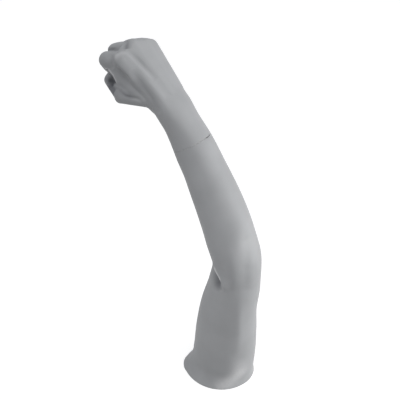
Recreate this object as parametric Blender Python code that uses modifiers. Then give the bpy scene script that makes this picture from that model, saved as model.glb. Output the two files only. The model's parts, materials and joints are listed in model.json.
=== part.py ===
# A mannequin's right arm with a clenched fist, standing on its cut shoulder end

import math

import bmesh
import bpy
import numpy as np
from mathutils import Matrix, Vector

MM = 0.001

# The arm stands on z = 0 with its shoulder cut centred on the origin.
# The outer side of the arm faces this way, and sections are turned from it.
LATERAL = Vector((0.0, -0.839, 0.545))

# Sections of the arm from the shoulder cut to the wrist, in mm and degrees:
# centre x, y, z, half breadth, half thickness, turn of the breadth, squareness
ARM_SECTIONS = {
    "shoulder_cut": (2.4, -0.5, 0.0, 55.2, 51.0, -36, 2.1),
    "shoulder_rim": (5.4, -1.0, 9.0, 51.6, 46.9, -34.5, 2.1),
    "armpit": (7.8, -2.0, 18.9, 50.2, 44.6, -33, 2.1),
    "biceps_low": (10.2, -5.0, 40.1, 48.9, 44.6, -30, 2.1),
    "biceps": (12.4, -9.0, 85.4, 47.0, 43.6, -24, 2.1),
    "biceps_end": (15.2, -13.0, 128.3, 42.9, 40.6, -16, 2.1),
    "above_elbow": (22.8, -17.0, 170.8, 40.1, 37.5, -8, 2.15),
    "elbow": (25.2, -21.0, 212.2, 38.3, 34.3, 0, 2.2),
    "forearm_bulge": (14.9, -11.0, 256.7, 39.0, 35.4, 6, 2.15),
    "forearm_upper": (3.0, -1.0, 290.4, 37.3, 34.3, 14, 2.1),
    "forearm_mid": (-10.6, 9.0, 323.1, 35.0, 31.8, 22, 2.1),
    "forearm_lower": (-21.1, 17.0, 346.7, 32.8, 29.3, 30, 2.1),
    "forearm_end": (-32.7, 25.0, 370.5, 31.0, 27.8, 36, 2.15),
    "hand_joint": (-37.8, 28.5, 381.1, 30.0, 26.2, 40, 2.2),
    "wrist": (-52.3, 37.0, 408.3, 27.6, 21.8, 46, 2.3),
    "wrist_crease": (-63.9, 43.0, 428.1, 28.2, 20.8, 49, 2.4),
    "palm_root": (-76.5, 51.0, 446.0, 27.6, 16.8, 50, 2.6),
}
# Sections stay level with the shoulder cut and with the hand joint this far, then turn over the reach
LEVEL_HOLD = 18.0
LEVEL_REACH = 24.0
TANGENT_REACH = 1.0  # the arm's direction is taken between points this far to each side
ARM_ROWS = 30
ARM_INNER_ROWS = 8
BOARD_ROWS = (0.0, 0.3, 0.65, 1.0)  # shares of a board's thickness where its outline is set out
ARM_POINTS = 36
WRIST_ROWS = 10
WRIST_OVERLAP = 8.0  # the hand's skin starts this far below the joint, and is cut off there

# Swells and hollows of the arm's skin: centre x, y, z, reach, rise in mm
ARM_SWELLS = {
    "elbow_point": (59.0, -14.0, 228.0, 24.0, 2.2),
    "forearm_fold": (-2.0, -46.0, 246.0, 26.0, 2.6),
    "elbow_hollow": (2.0, -52.0, 204.0, 18.0, -4.0),
    "elbow_groove": (24.0, -60.0, 184.0, 16.0, -2.0),
    "triceps": (53.0, -30.0, 110.0, 36.0, 0.8),
}

SHELL_WALL = 3.0
FIT_GAP = 0.3  # between neighbours that bear on one another

# Shoulder fitting
SHOULDER_BOARD_THICKNESS = 15.0
SHOULDER_PLATE_RADIUS = 40.0
SHOULDER_PLATE_THICKNESS = 3.0
SHOULDER_PLATE_EDGE = 0.4  # the bevel round its lower face
SHOULDER_SCREWS = 4
SHOULDER_SCREW_EDGE = 4.9  # from a screw's head to the plate's rim
SHOULDER_SCREW_LENGTH = 12.0

# Wrist fitting, measured outward from the hand joint along its axis
JOINT_GAP = 0.5  # open line between the two shells
FLANGE_DEPTH = 0.5  # the socket's flange lies this far inside the forearm's rim
MOUTH_CLEARANCE = 2.0  # from the flange and the hand plate to the shells round them
FLANGE_THICKNESS = 2.0
SOCKET_HALF = 7.5
SOCKET_LENGTH = 24.0
PEG_HALF = 5.0
PEG_SLIDE_GAP = 0.3
PEG_SQUARE_LENGTH = 20.0
COLLAR_RADIUS = 8.0
COLLAR_THICKNESS = 4.0
SHANK_RADIUS = 4.0
SHANK_PROUD = 1.7  # the threaded end stands out of the nut
SHANK_EDGE = 0.6
SHANK_RUNNING_GAP = 0.1  # in the bush; the plate and the washers clear it by the fit gap
WRIST_BOARD_THICKNESS = 12.0
HAND_PLATE_THICKNESS = 2.0
HAND_BOARD_THICKNESS = 10.0
MAGNET_RADIUS = 13.6
MAGNET_BORE = 8.6
MAGNET_THICKNESS = 3.2
BUSH_RADIUS = 6.0
WASHER_RADIUS = 8.0
WASHER_THICKNESS = 1.4
SPRING_RADIUS = 7.6
SPRING_WIRE = 0.7
SPRING_WAVE = 0.35
SPRING_WAVES = 3
SPRING_STEPS = 48
NUT_FLATS = 13.0
NUT_HEIGHT = 6.5
FITTING_SCREWS = 3
FITTING_SCREW_EDGE = 0.7  # from a screw's head to the rim of the flange or the hand plate
FITTING_SCREW_LENGTH = 9.0

# Countersunk wood screw
SCREW_HEAD_RADIUS = 3.1
SCREW_HEAD_DEPTH = 1.7
SCREW_SHANK_RADIUS = 1.6
SCREW_GAP = 0.15
SCREW_SINK = 0.2  # the heads lie this far below the plates
DRIVE_WIDTH = 0.9
DRIVE_DEPTH = 0.8
SCREW_POINT_LENGTH = 2.0
SCREW_POINT_RADIUS = 0.4
SCREW_HEAD_EDGE = 0.3
DRIVE_SHARE = 0.62  # of the head's width

ROUND_STEPS = 32
PLATE_STEPS = 48
SCREW_STEPS = 12
CUT_REACH = 1.0  # how far a cutter runs past the face that it opens
JOIN_DEPTH = 0.5  # how far a piece that is joined on reaches into the other

# The hand's own frame: origin at the wrist, x to the thumb side, y to the knuckles, z out of its back
HAND_ORIGIN = Vector((-63.8, 43.5, 427.5))
HAND_DISTAL = Vector((-0.541, 0.367, 0.757))
HAND_DORSAL = Vector((0.520, -0.560, 0.643))

# Joints of the fingers from the knuckle to the tip: x, y, z, radius
FINGERS = {
    "index": (
        (29.5, 91.5, -1.0, 11.2), (28.2, 103.0, -29.8, 12.0),
        (24.0, 79.0, -37.0, 8.4), (21.0, 69.0, -25.0, 7.4),
    ),
    "middle": (
        (5.5, 99.8, 2.5, 11.2), (10.0, 106.4, -28.2, 12.0),
        (8.0, 81.0, -38.0, 8.8), (8.0, 70.0, -22.0, 7.6),
    ),
    "ring": (
        (-12.5, 94.0, -1.2, 11.5), (-9.0, 101.5, -33.0, 10.4),
        (-9.5, 78.0, -38.5, 8.6), (-9.5, 68.0, -22.0, 7.4),
    ),
    "little": (
        (-28.2, 86.6, -5.6, 10.4), (-27.0, 91.0, -33.0, 9.4),
        (-26.0, 71.5, -36.5, 7.8), (-24.5, 62.5, -22.0, 6.8),
    ),
}
# Bases of the four metacarpals: x, y, z, radius
PALM_BASES = {
    "index": (13.0, 16.0, 2.5, 16.5),
    "middle": (4.0, 14.0, 3.0, 17.0),
    "ring": (-6.5, 14.0, 2.5, 15.8),
    "little": (-16.0, 17.0, 0.0, 14.2),
}
# Joints of the thumb from its root to its tip: x, y, z, radius
THUMB = (
    (15.0, 22.0, -6.5, 11.8), (41.6, 51.2, -25.4, 12.0),
    (24.5, 78.0, -54.4, 9.8), (-1.0, 89.0, -51.4, 8.4),
)
# Soft masses of the palm and the web: the skin stretched over two to four balls each
PALM_MASSES = {
    "thumb_corner": ((41.6, 51.2, -25.4, 12.0), (44.2, 50.2, -28.0, 9.0)),
    "thumb_ball": (
        (17.0, 25.0, -8.0, 12.5), (35.0, 50.0, -23.0, 12.5),
        (10.0, 46.0, -13.0, 10.0), (22.0, 60.0, -27.0, 8.5),
    ),
    "thumb_root": ((17.0, 25.0, -8.0, 12.6), (11.0, -7.0, -6.0, 10.9)),
    "little_ball": (
        (-15.0, 18.0, -5.0, 13.0), (-24.0, 56.0, -13.0, 13.0),
        (-14.0, 42.0, -10.0, 11.5), (-18.0, 60.0, -21.0, 8.5),
    ),
    "little_root": ((-15.0, 18.0, -5.0, 13.0), (-10.0, 0.0, -3.0, 12.0)),
    "palm": ((-4.0, 20.0, -6.0, 13.0), (2.0, 62.0, -11.0, 12.0)),
    "palm_fill": (
        (12.0, 34.0, -11.0, 11.0), (-14.0, 34.0, -9.0, 12.0),
        (10.0, 58.0, -20.0, 9.5), (-14.0, 58.0, -18.0, 9.5),
    ),
    "tip_bed": (
        (20.0, 62.0, -27.0, 7.5), (-20.0, 58.0, -21.0, 8.0),
        (-20.0, 68.0, -25.0, 8.0), (18.0, 70.0, -29.0, 8.0),
    ),
    "fist_heart": (
        (20.0, 76.0, -24.0, 9.5), (-24.0, 72.0, -22.0, 9.0),
        (-23.0, 82.0, -20.0, 8.5), (14.0, 88.0, -20.0, 8.0),
    ),
    "little_fold": ((-25.0, 80.0, -20.0, 9.5), (-25.0, 71.0, -25.0, 9.2)),
    "thumb_bed": ((14.0, 80.0, -44.0, 5.0), (-6.0, 82.0, -43.0, 5.0)),
    "web_root": ((24.0, 32.0, -9.0, 11.0), (30.5, 52.0, -15.5, 11.5)),
    "web_high": (
        (29.5, 88.0, -12.0, 10.0), (29.5, 70.0, -14.0, 11.0),
        (36.0, 90.0, -24.0, 2.2), (36.0, 74.0, -24.8, 2.2),
    ),
    "web_low": (
        (29.5, 70.0, -14.0, 11.0), (30.5, 52.0, -15.5, 11.5),
        (36.0, 74.0, -24.8, 2.2), (37.0, 61.0, -28.5, 2.2),
    ),
}
WEB_SINKS = (2.6, 5.4, 5.8)  # how far the skin between two fingers lies below them at each joint
FIST_VOXEL = 1.5
FIST_SMOOTH_STEPS = 6
FIST_FACES = 4600
BALL_SUBDIVISIONS = 3  # of the balls that the hand's masses are stretched over
# Balls that the hollow of the palm is stretched over
HAND_CAVITY = ((14.0, 56.0, -4.0, 9.0), (-12.0, 52.0, -4.0, 9.0), (0.0, 2.0, 0.0, 13.0))
HAND_CAVITY_MOUTH = 15.0
MOUTH_OVERLAP = 3.0  # the mouth's cutter starts this far below the joint

# Red, green, blue, metallic, roughness
COLORS = {
    "painted_skin": (0.36, 0.36, 0.37, 0.0, 0.6),
    "plywood": (0.62, 0.44, 0.26, 0.0, 0.75),
    "zinc_steel": (0.58, 0.58, 0.57, 1.0, 0.35),
    "screw_steel": (0.50, 0.50, 0.51, 1.0, 0.3),
    "spring_steel": (0.34, 0.35, 0.37, 1.0, 0.3),
    "magnet": (0.62, 0.60, 0.56, 1.0, 0.25),
    "nylon": (0.82, 0.81, 0.77, 0.0, 0.5),
}

# Nodes whose names start so have this material; the two shells are painted
NODE_MATERIALS = {
    "shoulder_board": "plywood",
    "wrist_board": "plywood",
    "hand_board": "plywood",
    "shoulder_plate": "zinc_steel",
    "wrist_socket": "zinc_steel",
    "hand_plate": "zinc_steel",
    "wrist_peg": "zinc_steel",
    "shoulder_screw": "screw_steel",
    "socket_screw": "screw_steel",
    "hand_screw": "screw_steel",
    "peg_washer": "screw_steel",
    "peg_nut": "screw_steel",
    "spring_washer": "spring_steel",
    "hand_magnet": "magnet",
    "peg_bush": "nylon",
}


def clear_scene():
    for thing in list(bpy.data.objects):
        bpy.data.objects.remove(thing)
    for name, hidden in (("mannequin_arm", False), ("cutters", True)):
        group = bpy.data.collections.new(name)
        group.hide_render = hidden
        bpy.context.scene.collection.children.link(group)


def material_for(node):
    for key, value in NODE_MATERIALS.items():
        if node.startswith(key):
            return value
    return "painted_skin"


def paint(obj):
    red, green, blue, metallic, roughness = COLORS[material_for(obj.name)]
    material = bpy.data.materials.new(f"{obj.name}_material")
    material.use_nodes = True
    shader = material.node_tree.nodes["Principled BSDF"]
    shader.inputs["Base Color"].default_value = (red, green, blue, 1.0)
    shader.inputs["Metallic"].default_value = metallic
    shader.inputs["Roughness"].default_value = roughness
    obj.data.materials.clear()
    obj.data.materials.append(material)


def add_mesh(name, points, faces, cutter=False):
    mesh = bpy.data.meshes.new(name)
    mesh.from_pydata([tuple(p) for p in points], [], faces)
    tidy = bmesh.new()
    tidy.from_mesh(mesh)
    bmesh.ops.recalc_face_normals(tidy, faces=tidy.faces)
    tidy.to_mesh(mesh)
    tidy.free()
    obj = bpy.data.objects.new(name, mesh)
    bpy.data.collections["cutters" if cutter else "mannequin_arm"].objects.link(obj)
    if cutter:
        obj.hide_render = True
        obj.display_type = "WIRE"
    else:
        paint(obj)
    return obj


def cut(obj, cutter):
    modifier = obj.modifiers.new(f"cut_{cutter.name}", "BOOLEAN")
    modifier.operation = "DIFFERENCE"
    modifier.solver = "EXACT"
    modifier.object = cutter


def disc(radius, low, high):
    # the profile of a solid round piece
    return [(0.0, high), (radius, high), (radius, low), (0.0, low)]


def ring(inner, outer, low, high):
    # the profile of a washer or a bush
    return [(inner, high), (outer, high), (outer, low), (inner, low)]


def revolve(name, profile, steps=ROUND_STEPS, frame=None, cutter=False):
    # a turned piece from its (radius, height) profile, run from the top down its outer side
    points = [(radius * MM, 0.0, height * MM) for radius, height in profile]
    closed = profile[0][0] > 0 and profile[-1][0] > 0
    mesh = bpy.data.meshes.new(name)
    edges = [(i, i + 1) for i in range(len(points) - 1)]
    if closed:
        edges.append((len(points) - 1, 0))
    mesh.from_pydata(points, edges, [])
    obj = bpy.data.objects.new(name, mesh)
    bpy.data.collections["cutters" if cutter else "mannequin_arm"].objects.link(obj)
    screw = obj.modifiers.new("turn", "SCREW")
    screw.steps = steps
    screw.render_steps = steps
    screw.use_merge_vertices = True
    screw.merge_threshold = 0.00001
    screw.use_smooth_shade = False
    if cutter:
        obj.hide_render = True
        obj.display_type = "WIRE"
    else:
        paint(obj)
    if frame is not None:
        obj.parent = frame
    return obj


def blended(values, positions, at):
    # smooth values between rows that are given at rising positions
    rows = np.array(values, dtype=float)
    slopes = np.gradient(rows, positions, axis=0)
    index = int(np.clip(np.searchsorted(positions, at) - 1, 0, len(positions) - 2))
    span = positions[index + 1] - positions[index]
    t = (at - positions[index]) / span
    start = (2 * t**3 - 3 * t**2 + 1) * rows[index] + (t**3 - 2 * t**2 + t) * span * slopes[index]
    end = (3 * t**2 - 2 * t**3) * rows[index + 1] + (t**3 - t**2) * span * slopes[index + 1]
    return start + end


def arm_line():
    rows = list(ARM_SECTIONS.values())
    centres = np.array([row[:3] for row in rows])
    steps = np.linalg.norm(np.diff(centres, axis=0), axis=1)
    return rows, np.concatenate([[0.0], np.cumsum(steps)])


def tangent_at(at):
    rows, positions = arm_line()
    low = max(at - TANGENT_REACH, 0.0)
    high = min(at + TANGENT_REACH, positions[-1])
    return Vector((blended(rows, positions, high) - blended(rows, positions, low))[:3]).normalized()


def level_share(distance):
    return min(max((abs(distance) - LEVEL_HOLD) / LEVEL_REACH, 0.0), 1.0)


def section_plane(at):
    # centre and normal of the arm's section at this distance along its line, in mm
    rows, positions = arm_line()
    share = level_share(at)
    normal = Vector((0.0, 0.0, 1.0)) * (1.0 - share) + tangent_at(at) * share
    share = level_share(at - joint_at())
    normal = tangent_at(joint_at()) * (1.0 - share) + normal * share
    return Vector(blended(rows, positions, at)[:3]), normal.normalized()


def section_ring(at, inset=0.0, plane=None):
    # points of the arm's section, drawn in by inset, on its own plane or on the one given
    rows, positions = arm_line()
    breadth, thickness, turn, square = blended(rows, positions, at)[3:]
    centre, normal = plane or section_plane(at)
    side = normal.cross(LATERAL).normalized()
    outward = side.cross(normal)
    angle = math.radians(turn)
    broad = outward * math.cos(angle) - side * math.sin(angle)
    thin = side * math.cos(angle) + outward * math.sin(angle)
    outline = []
    for i in range(ARM_POINTS):
        phi = 2 * math.pi * i / ARM_POINTS
        across = math.copysign(abs(math.cos(phi)) ** (2 / square), math.cos(phi))
        along = math.copysign(abs(math.sin(phi)) ** (2 / square), math.sin(phi))
        ray = broad * (breadth * across) + thin * (thickness * along)
        rise = 0.0
        for x, y, z, reach, height in ARM_SWELLS.values():
            distance = (centre + ray - Vector((x, y, z))).length / reach
            rise += height * math.exp(-distance * distance)
        outline.append(centre + ray.normalized() * (ray.length + rise - inset))
    return outline


def flat_ring(start, height, inset):
    # the arm's section on the plane this high above the one at start, parallel to it
    base, normal = section_plane(start)
    centre = section_plane(start + height)[0]
    centre = centre - normal * ((centre - base).dot(normal) - height)
    return section_ring(start + height, inset, (centre, normal))


def joint_at():
    names = list(ARM_SECTIONS)
    return arm_line()[1][names.index("hand_joint")]


def loft(rings, closed):
    # points and faces of rings joined in order: round to the first, or capped at both ends
    count = len(rings[0])
    points = [p * MM for ring in rings for p in ring]
    faces = []
    spans = len(rings) if closed else len(rings) - 1
    for row in range(spans):
        low = row * count
        high = (row + 1) % len(rings) * count
        for i in range(count):
            j = (i + 1) % count
            faces.append((low + i, low + j, high + j, high + i))
    if not closed:
        faces.append(tuple(range(count)))
        faces.append(tuple(range((len(rings) - 1) * count, len(rings) * count)))
    return points, faces


def arm_shell():
    stops = np.linspace(0.0, joint_at(), ARM_ROWS)
    outer = [section_ring(at) for at in stops]
    wrist_rows = (0.0, *(-wrist_board_face() - WRIST_BOARD_THICKNESS * part for part in BOARD_ROWS))
    shoulder_rows = [SHOULDER_BOARD_THICKNESS * part for part in reversed(BOARD_ROWS)]
    middle = np.linspace(joint_at() - LEVEL_HOLD * 2, LEVEL_HOLD * 2, ARM_INNER_ROWS)
    inner = [flat_ring(joint_at(), height, SHELL_WALL) for height in wrist_rows]
    inner += [section_ring(at, SHELL_WALL) for at in middle]
    inner += [flat_ring(0.0, height, SHELL_WALL) for height in shoulder_rows]
    return add_mesh("arm_shell", *loft(outer + inner, True))


def section_board(name, start, low, high, inset, cutter=False):
    # a board that fills the shell between two heights above the section at start
    rings = [flat_ring(start, low + (high - low) * part, inset) for part in BOARD_ROWS]
    return add_mesh(name, *loft(rings, False), cutter)


def joint_frame():
    # an empty at the hand joint, its z axis out along the wrist
    centre, normal = section_plane(joint_at())
    side = normal.cross(LATERAL).normalized()
    frame = bpy.data.objects.new("hand_joint_frame", None)
    bpy.data.collections["mannequin_arm"].objects.link(frame)
    turn = Matrix((side, normal.cross(side), normal)).transposed()
    frame.matrix_world = Matrix.Translation(centre * MM) @ turn.to_4x4()
    return frame


def box(name, half_x, half_y, low, high, frame=None, cutter=False):
    xs = (-half_x * MM, half_x * MM)
    ys = (-half_y * MM, half_y * MM)
    zs = (low * MM, high * MM)
    points = [(x, y, z) for z in zs for y in ys for x in xs]
    faces = [(0, 1, 3, 2), (4, 5, 7, 6), (0, 1, 5, 4), (2, 3, 7, 6), (0, 2, 6, 4), (1, 3, 7, 5)]
    obj = add_mesh(name, points, faces, cutter)
    if frame is not None:
        obj.parent = frame
    return obj


def screw_profile(length, gap=0.0, below=0.0):
    head = SCREW_HEAD_RADIUS + gap
    shank = SCREW_SHANK_RADIUS + gap
    return [
        (0.0, below),
        (head, below),
        (head, -SCREW_HEAD_EDGE),
        (shank, -SCREW_HEAD_DEPTH - gap),
        (shank, -length + SCREW_POINT_LENGTH),
        (SCREW_POINT_RADIUS + gap, -length - gap),
        (0.0, -length - gap),
    ]


def add_screws(prefix, targets, count, circle, length, face, up, frame=None):
    # countersunk screws on a circle, each in its own hole through the targets
    for i in range(count):
        number = i + 1
        angle = 2 * math.pi * (i + 0.5) / count
        spot = Vector((circle * math.cos(angle), circle * math.sin(angle), face)) * MM
        flip = (0.0 if up else math.pi, 0.0, angle)
        body = revolve(f"{prefix}_{number}", screw_profile(length), SCREW_STEPS, frame)
        clear = screw_profile(length, SCREW_GAP, CUT_REACH)
        hole = revolve(f"{prefix}_hole_{number}", clear, SCREW_STEPS, frame, True)
        half = SCREW_HEAD_RADIUS * DRIVE_SHARE
        drive = box(f"{prefix}_drive_{number}", half, DRIVE_WIDTH / 2, -DRIVE_DEPTH, CUT_REACH, frame, True)
        for obj in (body, hole, drive):
            obj.location = spot
            obj.rotation_euler = flip
        cut(body, drive)
        for target in targets:
            cut(target, hole)


def shoulder_fitting():
    board = section_board("shoulder_board", 0.0, 0.0, SHOULDER_BOARD_THICKNESS, SHELL_WALL + FIT_GAP)
    radius = SHOULDER_PLATE_RADIUS
    edge = SHOULDER_PLATE_EDGE
    top = SHOULDER_PLATE_THICKNESS
    profile = [(0.0, top), (radius, top), (radius, edge), (radius - edge, 0.0), (0.0, 0.0)]
    plate = revolve("shoulder_plate", profile, PLATE_STEPS)
    pocket = disc(radius + FIT_GAP, -CUT_REACH, top + FIT_GAP)
    cut(board, revolve("shoulder_pocket", pocket, PLATE_STEPS, None, True))
    circle = radius - SHOULDER_SCREW_EDGE - SCREW_HEAD_RADIUS
    length = SHOULDER_SCREW_LENGTH
    add_screws("shoulder_screw", (board, plate), SHOULDER_SCREWS, circle, length, SCREW_SINK, False)


def wrist_board_face():
    return FLANGE_DEPTH + FLANGE_THICKNESS + FIT_GAP


def join(obj, other):
    modifier = obj.modifiers.new(f"join_{other.name}", "BOOLEAN")
    modifier.operation = "UNION"
    modifier.solver = "EXACT"
    modifier.object = other


def fitting_radius():
    # the socket's flange and the hand plate fill the shells' mouths, which are least broad across the thickness
    return ARM_SECTIONS["hand_joint"][4] - SHELL_WALL - MOUTH_CLEARANCE


def fitting_circle():
    # where the screws stand in the flange and in the hand plate
    return fitting_radius() - FITTING_SCREW_EDGE - SCREW_HEAD_RADIUS


def forearm_fitting(frame):
    board_top = -wrist_board_face()
    board_low = board_top - WRIST_BOARD_THICKNESS
    board = section_board("wrist_board", joint_at(), board_low, board_top, SHELL_WALL + FIT_GAP)
    top = -FLANGE_DEPTH
    low = top - FLANGE_THICKNESS
    socket = revolve("wrist_socket", disc(fitting_radius(), low, top), ROUND_STEPS, frame)
    join(socket, box("socket_boss", SOCKET_HALF, SOCKET_HALF, -SOCKET_LENGTH, low + JOIN_DEPTH, frame, True))
    end = -SOCKET_LENGTH - CUT_REACH
    hole = PEG_HALF + PEG_SLIDE_GAP
    cut(socket, box("socket_hole", hole, hole, end, CUT_REACH, frame, True))
    clear = SOCKET_HALF + FIT_GAP
    cut(board, box("board_hole", clear, clear, end, CUT_REACH, frame, True))
    targets = (socket, board)
    face = top - SCREW_SINK
    add_screws("socket_screw", targets, FITTING_SCREWS, fitting_circle(), FITTING_SCREW_LENGTH, face, True, frame)


def peg_levels():
    # heights above the joint of the collar's two faces, the hand plate, the hand board and its end
    collar_low = -FLANGE_DEPTH + FIT_GAP
    collar_top = collar_low + COLLAR_THICKNESS
    plate_low = collar_top + FIT_GAP
    board_low = plate_low + HAND_PLATE_THICKNESS + FIT_GAP
    return collar_low, collar_top, plate_low, board_low, board_low + HAND_BOARD_THICKNESS


def nut_levels():
    # heights of the washer's lower face, the spring washer's middle and the nut's two faces
    washer_low = peg_levels()[4] + FIT_GAP
    middle = washer_low + WASHER_THICKNESS + FIT_GAP + SPRING_WIRE / 2 + SPRING_WAVE
    nut_low = middle + SPRING_WAVE + SPRING_WIRE / 2 + FIT_GAP
    return washer_low, middle, nut_low, nut_low + NUT_HEIGHT


def wrist_peg(frame):
    collar_low, collar_top = peg_levels()[:2]
    top = nut_levels()[3] + SHANK_PROUD
    profile = [
        (0.0, top),
        (SHANK_RADIUS - SHANK_EDGE, top),
        (SHANK_RADIUS, top - SHANK_EDGE),
        (SHANK_RADIUS, collar_top),
        (COLLAR_RADIUS, collar_top),
        (COLLAR_RADIUS, collar_low),
        (0.0, collar_low),
    ]
    peg = revolve("wrist_peg", profile, ROUND_STEPS, frame)
    end = collar_low - PEG_SQUARE_LENGTH
    join(peg, box("peg_square", PEG_HALF, PEG_HALF, end, collar_low + JOIN_DEPTH, frame, True))


def peg_pieces(frame):
    wrist_peg(frame)
    bore = SHANK_RADIUS + FIT_GAP
    washer_low, middle, nut_low, nut_top = nut_levels()
    washer = ring(bore, WASHER_RADIUS, washer_low, washer_low + WASHER_THICKNESS)
    revolve("peg_washer", washer, ROUND_STEPS, frame)
    spring_washer(frame, bore, middle)
    nut = revolve("peg_nut", disc(NUT_FLATS / math.sqrt(3), nut_low, nut_top), 6, frame)
    thread = disc(SHANK_RADIUS + SCREW_GAP, nut_low - CUT_REACH, nut_top + CUT_REACH)
    cut(nut, revolve("nut_bore", thread, ROUND_STEPS, frame, True))


def spring_washer(frame, bore, middle):
    # a flat ring of spring steel, bent in three waves
    points = []
    half = SPRING_WIRE / 2
    for i in range(SPRING_STEPS):
        angle = 2 * math.pi * i / SPRING_STEPS
        level = middle + SPRING_WAVE * math.sin(SPRING_WAVES * angle)
        for radius, rise in ((bore, -half), (SPRING_RADIUS, -half), (SPRING_RADIUS, half), (bore, half)):
            points.append(Vector((radius * math.cos(angle), radius * math.sin(angle), level + rise)) * MM)
    faces = []
    for i in range(SPRING_STEPS):
        here = i * 4
        there = (i + 1) % SPRING_STEPS * 4
        for k in range(4):
            after = (k + 1) % 4
            faces.append((here + k, here + after, there + after, there + k))
    add_mesh("spring_washer", points, faces).parent = frame


def hand_fitting(frame):
    plate_low, board_low, board_top = peg_levels()[2:]
    plate_top = plate_low + HAND_PLATE_THICKNESS
    bore = SHANK_RADIUS + FIT_GAP
    plate = revolve("hand_plate", ring(bore, fitting_radius(), plate_low, plate_top), ROUND_STEPS, frame)
    magnet_top = plate_low - FIT_GAP
    magnet = ring(MAGNET_BORE, MAGNET_RADIUS, magnet_top - MAGNET_THICKNESS, magnet_top)
    revolve("hand_magnet", magnet, ROUND_STEPS, frame)
    board = section_board("hand_board", joint_at(), board_low, board_top, SHELL_WALL + FIT_GAP)
    bore = disc(BUSH_RADIUS + FIT_GAP, board_low - CUT_REACH, board_top + CUT_REACH)
    cut(board, revolve("board_bore", bore, ROUND_STEPS, frame, True))
    bush = ring(SHANK_RADIUS + SHANK_RUNNING_GAP, BUSH_RADIUS, board_low, board_top)
    revolve("peg_bush", bush, ROUND_STEPS, frame)
    targets = (plate, board)
    face = plate_low + SCREW_SINK
    add_screws("hand_screw", targets, FITTING_SCREWS, fitting_circle(), FITTING_SCREW_LENGTH, face, False, frame)


def hand_matrix():
    distal = HAND_DISTAL.normalized()
    dorsal = (HAND_DORSAL - distal * HAND_DORSAL.dot(distal)).normalized()
    radial = dorsal.cross(distal)
    turn = Matrix((radial, distal, dorsal)).transposed()
    return Matrix.Translation(HAND_ORIGIN * MM) @ turn.to_4x4()


def hull_of_balls(shape, balls, matrix):
    # adds the skin stretched over these balls to the bmesh
    ball = bmesh.new()
    bmesh.ops.create_icosphere(ball, subdivisions=BALL_SUBDIVISIONS, radius=1.0)
    directions = [vertex.co.copy() for vertex in ball.verts]
    ball.free()
    made = bmesh.new()
    for x, y, z, radius in balls:
        for direction in directions:
            made.verts.new(matrix @ ((Vector((x, y, z)) + direction * radius) * MM))
    result = bmesh.ops.convex_hull(made, input=made.verts)
    inside = [g for g in result["geom_interior"] if isinstance(g, bmesh.types.BMVert)]
    bmesh.ops.delete(made, geom=inside, context="VERTS")
    bmesh.ops.recalc_face_normals(made, faces=made.faces)
    mesh = bpy.data.meshes.new("balls")
    made.to_mesh(mesh)
    made.free()
    shape.from_mesh(mesh)
    bpy.data.meshes.remove(mesh)


def sunk(ball, sink):
    return (*ball[:3], ball[3] - sink)


def fist_masses(shape, matrix):
    for name, joints in FINGERS.items():
        for pair in zip(joints, joints[1:]):
            hull_of_balls(shape, pair, matrix)
        hull_of_balls(shape, (PALM_BASES[name], joints[0]), matrix)
    names = list(FINGERS)
    for pair in zip(names, names[1:]):
        back = [FINGERS[name][0] for name in pair] + [PALM_BASES[name] for name in pair]
        hull_of_balls(shape, back, matrix)
        web = [sunk(ball, sink) for name in pair for ball, sink in zip(FINGERS[name], WEB_SINKS)]
        hull_of_balls(shape, web, matrix)
    for pair in zip(THUMB, THUMB[1:]):
        hull_of_balls(shape, pair, matrix)
    for balls in PALM_MASSES.values():
        hull_of_balls(shape, balls, matrix)


def fist_skin(name):
    # the hand as one closed skin, running on past the joint into the forearm
    shape = bmesh.new()
    fist_masses(shape, hand_matrix())
    stops = np.linspace(joint_at() - WRIST_OVERLAP, arm_line()[1][-1], WRIST_ROWS)
    points, quads = loft([section_ring(at) for at in stops], False)
    wrist = bpy.data.meshes.new("wrist")
    wrist.from_pydata([tuple(p) for p in points], [], quads)
    shape.from_mesh(wrist)
    bpy.data.meshes.remove(wrist)
    bmesh.ops.recalc_face_normals(shape, faces=shape.faces)
    mesh = bpy.data.meshes.new(name)
    shape.to_mesh(mesh)
    shape.free()
    obj = bpy.data.objects.new(name, mesh)
    bpy.data.collections["mannequin_arm"].objects.link(obj)
    remesh = obj.modifiers.new("skin", "REMESH")
    remesh.mode = "VOXEL"
    remesh.voxel_size = FIST_VOXEL * MM
    smooth = obj.modifiers.new("smooth", "SMOOTH")
    smooth.factor = 0.5
    smooth.iterations = round(FIST_SMOOTH_STEPS)
    reduce = obj.modifiers.new("reduce", "DECIMATE")
    graph = bpy.context.evaluated_depsgraph_get()
    count = len(obj.evaluated_get(graph).data.polygons) * 2
    reduce.ratio = min(1.0, FIST_FACES / count)
    paint(obj)
    return obj


def hand_shell(frame):
    skin = fist_skin("hand_shell")
    half = ARM_SECTIONS["hand_joint"][3] * 2
    low = -WRIST_OVERLAP * 2
    cut(skin, box("joint_plane", half, half, low, JOINT_GAP, frame, True))
    mouth_end = peg_levels()[4] + FIT_GAP
    cut(skin, section_board("hand_mouth", joint_at(), -MOUTH_OVERLAP, mouth_end, SHELL_WALL, True))
    cut(skin, hand_hollow(mouth_end))


def hand_hollow(start):
    # the cutter for the cavity that runs from the board into the palm
    centre, normal = section_plane(joint_at())
    spot = hand_matrix().inverted() @ ((centre + normal * start) * MM) / MM
    shape = bmesh.new()
    hull_of_balls(shape, (*HAND_CAVITY, (*spot, HAND_CAVITY_MOUTH)), hand_matrix())
    mesh = bpy.data.meshes.new("hand_hollow")
    shape.to_mesh(mesh)
    shape.free()
    hollow = bpy.data.objects.new("hand_hollow", mesh)
    bpy.data.collections["cutters"].objects.link(hollow)
    hollow.hide_render = True
    hollow.display_type = "WIRE"
    return hollow


def build():
    clear_scene()
    frame = joint_frame()
    arm_shell()
    shoulder_fitting()
    forearm_fitting(frame)
    peg_pieces(frame)
    hand_fitting(frame)
    hand_shell(frame)


build()
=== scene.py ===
import json
import math

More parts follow.
